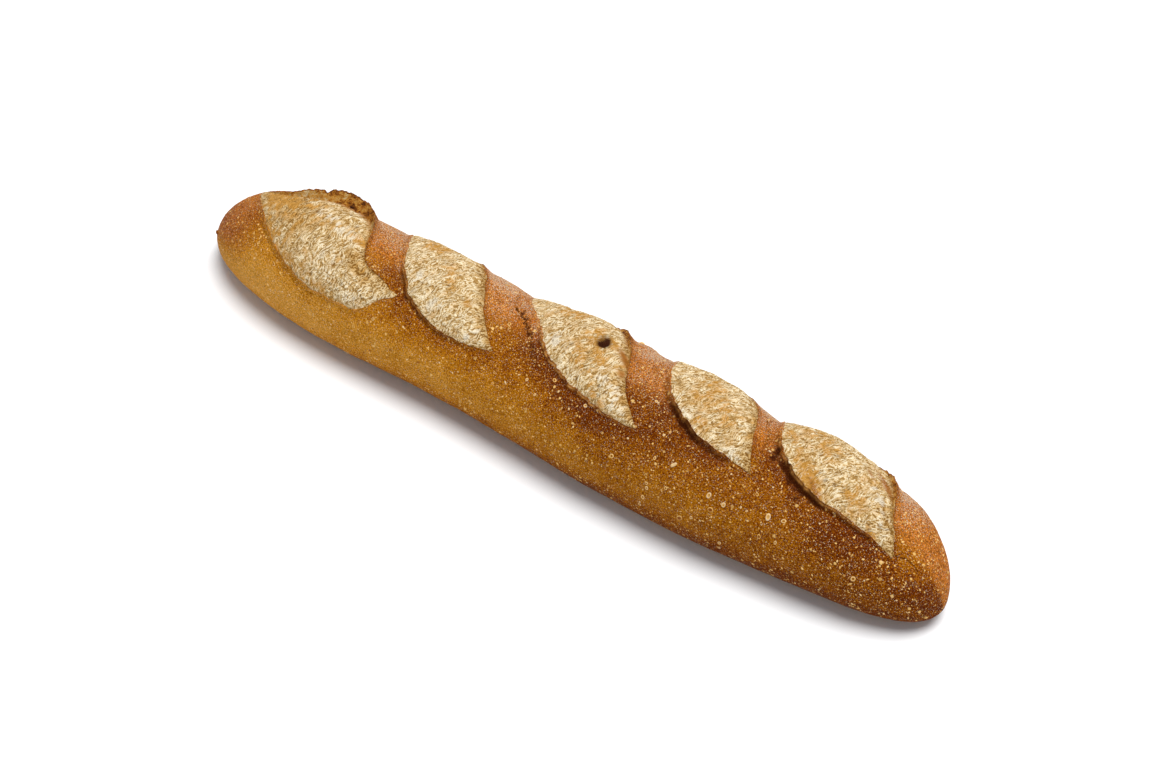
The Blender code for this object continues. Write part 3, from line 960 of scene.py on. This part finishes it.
class BAGUETTE_OT_crumb(bpy.types.Operator):
    """Makes the domed crumb that shows in each opened slash"""

    bl_idname = "baguette.crumb"
    bl_label = "Crumb"

    def execute(self, context):
        """Rings across each leaf: a dome 1 - across^2 over a line from lip to ear, closed underneath."""
        look = context.scene.baguette_crumb
        angle = np.linspace(0, np.pi, CRUMB_RINGS + 2)[1:-1]
        share = (0.35 * (1 - np.cos(angle)) / 2 + 0.65 * angle / np.pi)[:, None]
        across = np.linspace(1, -1, CRUMB_POINTS)[None, :]
        below = np.linspace(-1, 1, CRUMB_UNDER + 2)[None, 1:-1]
        for slash in SLASHES:
            front, back = leaf_sides(slash, share)
            lip, ear, low_front, low_back = leaf_heights(slash, share)
            middle = np.sin(np.pi * share)
            side_front = front - np.minimum(0.3, 0.1 * front)
            side_back = -back + np.minimum(0.3, 0.1 * back)
            centre, half = (side_front + side_back) / 2, (side_front - side_back) / 2
            side = centre + across * half
            reach = slash_axes(slash)[3] * share + 0 * across
            low = low_front + (low_back - low_front) * (1 - across) / 2 - 0.3
            dome = slash.rise * middle**FADE * (1 - across**2) * (1 - DOME_LEAN * across)
            relief, finish = crumb_relief(slash, share, reach, side, look.fibre)
            edge = np.minimum(side_front - side, side - side_back)
            relief = relief * (0.3 + 0.7 * smooth_step(0, 1.5, edge)) * np.clip(middle * 4, 0, 1)
            height = low + dome + relief
            rim = 0.35 * (1 - smooth_step(0.1, 0.8, side_front - side))
            finish["toast"] = np.maximum(finish["toast"], rim)
            stand = np.maximum(ear - low_back, 0)
            behind = 1 - smooth_step(0, 4, side - side_back - WALL_RUN * stand)
            behind = behind * np.clip(stand / 4, 0, 1) * bell(share, slash.ear_place + 0.08, 0.17)
            finish["toast"] = np.maximum(finish["toast"], 0.75 * behind)
            beside = 0.7 * (1 - smooth_step(0, 6, side - side_back))
            finish["shade"] = np.maximum(finish["shade"], beside)
            under = np.minimum(low.min(axis=1, keepdims=True), 0)
            under = under - CORE_DEPTH * middle**0.3 * (1 - below**2) ** 0.3
            side = np.concatenate([side, centre + below * half], axis=1)
            height = np.concatenate([height, under], axis=1)
            reach = slash_axes(slash)[3] * share + 0 * side
            along, round_ = from_slash(slash, reach, side)
            hidden = np.zeros(under.shape)
            make_piece(
                f"crumb_{slash.number}", with_ends(lift(along, round_, height)), tube_faces(*side.shape),
                {key: with_ends(np.concatenate([value, hidden], axis=1)) for key, value in finish.items()},
                [material_once("open_crumb", crumb_material, look)],
                leaf=with_ends(np.stack([reach, side], axis=-1)),
            )
        return {"FINISHED"}


def edge_rings(slash, at_front, offsets):
    """Places across one edge of a leaf: its line moved out along its normal by each ring's offsets."""
    share, line, normal = edge_line(slash, at_front, EDGE_RINGS)
    spot = line[:, None, :] + normal[:, None, :] * offsets[..., None]
    along, round_ = from_slash(slash, spot[..., 0], spot[..., 1])
    layer = 30.0 * slash.number + 0 * spot[..., :1]
    return share[:, None], along, round_, np.concatenate([spot, layer], -1)


def bury(height, offsets, share):
    """Lowers the outer border of a lip or ear just under the crust, and sinks its two ends."""
    height = height - 0.05 * smooth_step(6, 8.2, offsets) - 0.4 * smooth_step(*BURIED, offsets)
    return height - 0.8 * (1 - end_fade(share, 0.0, 0.035))


class BAGUETTE_OT_lips(bpy.types.Operator):
    """Makes the thin lip of crust along the front of each slash"""

    bl_idname = "baguette.lips"
    bl_label = "Lips"

    def execute(self, context):
        """Rings across the edge: the crust's own relief outside it, a round crest, and a drop inside."""
        look = context.scene.baguette_crust
        outside = COVER * (1 - np.linspace(0, 1, 38)) ** 1.5
        inside = np.array([-0.3, -0.5, -0.62, -0.7, -0.75])
        drop = np.array([0.06, 0.25, 0.7, 1.4, 3.2])
        shown = len(outside)
        offsets = np.concatenate([outside, inside, [1.0, 5.0]])[None, :]
        for slash in SLASHES:
            share, along, round_, place = edge_rings(slash, True, offsets)
            _, height, char_and_shade, crisp, red = crust_surface(along, round_, covered=False)
            crest = height[:, shown - 1 : shown]
            line = place * (1, 0, 1)
            tear = lattice_noise(line, 3.0, 60) + 0.7 * lattice_noise(line, 1.2, 61)
            tear = 0.35 * tear * end_fade(share, 0.02, 0.1) * bell(offsets, 0, 1.3)
            height[:, shown:-2] = crest - drop
            height = bury(height, offsets, share) + tear
            height[:, -2:] = crest - CORE_DEPTH
            char_and_shade[:, shown:] = char_and_shade[:, shown - 1 : shown] * 0.6
            crisp[:, shown:] = crisp[:, shown - 1 : shown] * 0.6
            values = crust_finish(skin(along, round_), along, round_, char_and_shade, crisp, red)
            rings = lift(along, round_, height)[1:-1]
            make_piece(
                f"lip_{slash.number}", with_ends(rings), tube_faces(*rings.shape[:2]),
                {key: with_ends(value[1:-1]) for key, value in values.items()},
                [material_once("baked_crust", crust_material, look)],
            )
        return {"FINISHED"}


class BAGUETTE_OT_ears(bpy.types.Operator):
    """Makes the raised ear of crust along the back of each slash"""

    bl_idname = "baguette.ears"
    bl_label = "Ears"

    def execute(self, context):
        """Rings across the edge: a torn inner wall up from the crumb, a crest, and a slope down outside."""
        look = context.scene.baguette_crust
        crumb = context.scene.baguette_crumb
        outside = COVER * np.linspace(0, 1, 34) ** 1.5
        wall = np.linspace(1, 0, 26)[:-1]
        inner = wall.size
        for slash in SLASHES:
            share = edge_line(slash, False, EDGE_RINGS)[0][:, None]
            _, ear, _, low_back = leaf_heights(slash, share)
            stand = np.maximum(ear - low_back, 0.2)
            run = 0.6 + WALL_RUN * stand
            offsets = [-run * wall - 0.3, outside + 0 * run, 6 + 0 * run, 0.5 + 0 * run]
            offsets = np.concatenate(offsets, axis=1)
            share, along, round_, place = edge_rings(slash, False, offsets)
            _, height, char_and_shade, crisp, red = crust_surface(along, round_, covered=False)
            crest = height[:, inner : inner + 1]
            rough = 0.9 * lattice_noise(place, 3.4, 70) + 0.5 * lattice_noise(place, 1.4, 71)
            rough = rough * np.minimum(1, stand / 3)
            notch = NOTCH[2] * bell(share, *NOTCH[:2]) if slash.number == 1 else 0
            line = place * (1, 0, 1)
            tear = 0.5 * lattice_noise(line, 2.6, 72) + 0.35 * lattice_noise(line, 1.1, 73) - 0.35
            tear = tear * np.minimum(1, stand / 3) * bell(offsets, 0, 1.2)
            tear = tear - notch * bell(offsets, 0, 2.5)
            climb = (1 - wall) ** 1.5
            height[:, :inner] = crest - stand * (1 - climb) - 0.3
            height[:, :inner] += rough[:, :inner] * np.minimum(1, 5 * wall)
            height = bury(height, offsets, share) + tear
            height[:, 0] -= 1.6
            height[:, -2:] = -CORE_DEPTH
            values = crust_finish(skin(along, round_), along, round_, char_and_shade, crisp, red)
            darkest = bell(share, slash.ear_place + 0.08, 0.11)
            # Painted shade: the foot of the torn wall, in the hollow where it meets the crumb, is darker.
            toast = 0.36 + 0.26 * darkest + 0.2 * darkest * bell(offsets, -run, 0.4 * run)
            values["toast"] = np.clip(toast * np.clip(stand / 2, 0.7, 1), 0, 1)
            rings = lift(along, round_, height)[1:-1]
            column = np.tile(np.arange(rings.shape[1]), rings.shape[0] - 1)
            make_piece(
                f"ear_{slash.number}", with_ends(rings), tube_faces(*rings.shape[:2]),
                {key: with_ends(value[1:-1]) for key, value in values.items()},
                [
                    material_once("baked_crust", crust_material, look),
                    material_once("toasted_crumb", toasted_material, crumb),
                ],
                face_materials=np.concatenate([column < inner - 1, np.zeros(2 * rings.shape[1], bool)]),
            )
        return {"FINISHED"}


def clear_of_slashes(along, round_, gap):
    """Whether each place on the crust is at least a gap away from every leaf."""
    clear = np.ones(along.shape, bool)
    for slash in SLASHES:
        clear &= leaf_distance(slash, along, round_)[0] > gap
    return clear


def bubbles(along, round_, size, stretch, heading, radii, heights, sides):
    """Domes on the crust: rings of given radii and heights about each place, with a point on top and below.

    A point is centre + ahead * size * stretch * r * cos + back * size * r * sin + out * size * height,
    with the two directions turned by the heading.
    """
    _, lifted, _, _, _ = crust_surface(along, round_, covered=False)
    centre = lift(along, round_, lifted)
    ahead, back, out = skin_frame(along, round_)
    turn_cos, turn_sin = np.cos(heading)[:, None], np.sin(heading)[:, None]
    major, minor = ahead * turn_cos + back * turn_sin, back * turn_cos - ahead * turn_sin
    spin = np.linspace(0, 2 * np.pi, sides, endpoint=False)
    across = np.outer(radii, np.cos(spin)).ravel()
    beside = np.outer(radii, np.sin(spin)).ravel()
    up = np.repeat(heights, sides)
    across, beside = np.append(across, [0, 0]), np.append(beside, [0, 0])
    up = np.append(up, [heights[-1], heights[0]])
    grown = size[:, None, None]
    points = centre[:, None, :] + grown * (
        major[:, None, :] * (across[None, :] * stretch[:, None])[..., None]
        + minor[:, None, :] * beside[None, :, None]
        + out[:, None, :] * up[None, :, None]
    )
    here, beside_ = np.arange(sides), np.roll(np.arange(sides), -1)
    rings = len(radii)
    start = sides * np.arange(rings - 1)[:, None]
    corners = [start + here, start + beside_, start + sides + beside_, start + sides + here]
    quads = np.stack(corners, -1).reshape(-1, 4)
    top, bottom = rings * sides, rings * sides + 1
    last = (rings - 1) * sides
    top_fan = np.stack([last + here, last + beside_, np.full(sides, top)], -1)
    bottom_fan = np.stack([beside_, here, np.full(sides, bottom)], -1)
    count = rings * sides + 2
    shift = (count * np.arange(len(along)))[:, None, None]
    faces = [(group[None] + shift).reshape(-1, group.shape[1]) for group in (quads, top_fan, bottom_fan)]
    return points.reshape(-1, 3), faces, count


class BAGUETTE_OT_blisters(bpy.types.Operator):
    """Makes the small bubbles of the crust, joined into one piece, and the burst ones with a rim"""

    bl_idname = "baguette.blisters"
    bl_label = "Blisters"

    def execute(self, context):
        settings = context.scene.baguette_blisters
        material = material_once("blistered_skin", blister_material, context.scene.baguette_crust)
        random = np.random.default_rng(80)
        along = random.uniform(-208, 208, 4 * settings.count)
        round_ = random.uniform(-66, 70, 4 * settings.count)
        wanted = 0.35 + 0.55 * smooth_step(-120, 180, along) + 0.25 * lattice_noise(
            np.stack([along, round_, 0 * along], -1), 16, 81
        )
        keep = (random.uniform(0, 1.1, along.size) < wanted) & clear_of_slashes(along, round_, 3.0)
        along, round_ = along[keep][: settings.count], round_[keep][: settings.count]
        size = 0.22 + 0.3 * random.uniform(0, 1, along.size) ** 2.5
        points, faces, count = bubbles(
            along, round_, size, 1 + random.uniform(0, 0.9, along.size), random.uniform(0, np.pi, along.size),
            np.array([1.15, 0.75]), np.array([-0.25, 0.32]), 8,
        )
        pale = np.repeat(random.uniform(0.15, 0.85, along.size), count)
        make_piece("blisters", points, faces, {"pale": pale}, [material])

        placed = np.array(
            [(13, -18), (33.5, -22), (56, -37), (86.5, -39), (76, -50), (107, -33), (115, -34), (110, -39),
             (96, -51.5), (136, -30), (181, -39.5)], float
        )
        tries = 4 * settings.rings
        extra = np.stack([random.uniform(-190, 205, tries), random.uniform(-62, 66, tries)], -1)
        extra = extra[clear_of_slashes(extra[:, 0], extra[:, 1], 4.0)][: settings.rings]
        along, round_ = np.concatenate([placed, extra]).T
        size = np.concatenate([random.uniform(0.75, 1.2, len(placed)), random.uniform(0.35, 0.8, len(extra))])
        points, faces, count = bubbles(
            along, round_, size, 1 + random.uniform(0, 0.5, along.size), random.uniform(0, np.pi, along.size),
            np.array([1.2, 1.0, 0.8, 0.5]), np.array([-0.3, 0.1, 0.22, 0.02]), 14,
        )
        pale = np.repeat(random.uniform(0.5, 0.9, along.size), count).reshape(-1, count)
        pale[:, 3 * 14 :] -= 0.45
        make_piece("burst_blisters", points, faces, {"pale": np.clip(pale, 0, 1)}, [material])
        return {"FINISHED"}


class BAGUETTE_OT_bits(bpy.types.Operator):
    """Makes the few flakes and crumbs of crust that cling to the loaf"""

    bl_idname = "baguette.bits"
    bl_label = "Bits"

    def execute(self, context):
        material = material_once("blistered_skin", blister_material, context.scene.baguette_crust)
        places = np.array(
            [(-206, -38, 1.2, 0.1), (189, -22.5, 0.9, 0.7), (86, -27.6, 0.8, 0.8), (28, 31, 1.2, 0.7)]
        )
        along, round_, size, pale = places.T
        points, faces, count = bubbles(
            along, round_, size, np.array([1.2, 1.0, 2.2, 1.2]), np.array([0.4, 0.2, 0.9, 0.1]),
            np.array([0.9, 1.1, 0.9, 0.5]), np.array([-0.3, 0.0, 0.4, 0.62]), 12,
        )
        points = points + 0.28 * np.stack([lattice_noise(points, 0.8, seed) for seed in (91, 92, 93)], -1)
        make_piece("bits", points, faces, {"pale": np.repeat(pale, count)}, [material])
        return {"FINISHED"}


class BAGUETTE_OT_stage(bpy.types.Operator):
    """Sets out the floor, the lights and the camera"""

    bl_idname = "baguette.stage"
    bl_label = "Stage"

    def execute(self, context):
        stage = context.scene.baguette_stage
        scene = context.scene
        mesh = bpy.data.meshes.new("floor")
        signs = ((-1, -1), (1, -1), (1, 1), (-1, 1))
        mesh.from_pydata([(FLOOR_REACH * x, FLOOR_REACH * y, 0) for x, y in signs], [], [(0, 1, 2, 3)])
        mesh.materials.append(floor_material(stage.floor[:]))
        floor = bpy.data.objects.new("floor", mesh)
        scene.collection.objects.link(floor)

        world = bpy.data.worlds.new("studio")
        world.use_nodes = True
        background = world.node_tree.nodes["Background"]
        background.inputs["Color"].default_value = (0.9, 0.94, 1, 1)
        background.inputs["Strength"].default_value = stage.fill
        scene.world = world

        light = bpy.data.lights.new("key", "SUN")
        light.energy = stage.key
        light.angle = stage.softness
        key = bpy.data.objects.new("key", light)
        scene.collection.objects.link(key)
        key.location = KEY_PLACE
        key.rotation_euler = Vector(key.location).to_track_quat("Z", "Y").to_euler()

        target = Vector(LOOKED_AT)
        back = Vector(
            (
                math.sin(stage.azimuth) * math.cos(stage.elevation),
                -math.cos(stage.azimuth) * math.cos(stage.elevation),
                math.sin(stage.elevation),
            )
        )
        lens = bpy.data.cameras.new("camera")
        lens.lens = stage.lens
        lens.sensor_width = 36
        camera = bpy.data.objects.new("camera", lens)
        scene.collection.objects.link(camera)
        camera.location = target + back * stage.distance
        camera.rotation_euler = back.to_track_quat("Z", "Y").to_euler()
        scene.camera = camera
        scene.view_settings.view_transform = "Standard"
        scene.view_settings.look = "None"
        return {"FINISHED"}


STEPS = (
    BAGUETTE_OT_stage, BAGUETTE_OT_crust, BAGUETTE_OT_crumb, BAGUETTE_OT_lips, BAGUETTE_OT_ears,
    BAGUETTE_OT_blisters, BAGUETTE_OT_bits,
)


class BAGUETTE_PT_panel(bpy.types.Panel):
    """Lists the pieces of the baguette and their settings"""

    bl_idname = "BAGUETTE_PT_panel"
    bl_label = "Baguette"
    bl_space_type = "VIEW_3D"
    bl_region_type = "UI"
    bl_category = "Baguette"

    def draw(self, context):
        for step in STEPS:
            self.layout.operator(step.bl_idname)
        for group in SETTINGS:
            settings = getattr(context.scene, group)
            box = self.layout.box()
            for name in settings.__annotations__:
                box.prop(settings, name)


SETTINGS = {
    "baguette_crust": BaguetteCrustSettings,
    "baguette_crumb": BaguetteCrumbSettings,
    "baguette_blisters": BaguetteBlisterSettings,
    "baguette_stage": BaguetteStageSettings,
}
CLASSES = (*SETTINGS.values(), *STEPS, BAGUETTE_PT_panel)


def register():
    for item in CLASSES:
        bpy.utils.register_class(item)
    for name, group in SETTINGS.items():
        setattr(bpy.types.Scene, name, bpy.props.PointerProperty(type=group))


def unregister():
    for name in SETTINGS:
        delattr(bpy.types.Scene, name)
    for item in reversed(CLASSES):
        bpy.utils.unregister_class(item)


def main():
    register()
    for step in STEPS:
        group, name = step.bl_idname.split(".")
        getattr(getattr(bpy.ops, group), name)()


if __name__ == "__main__":
    main()
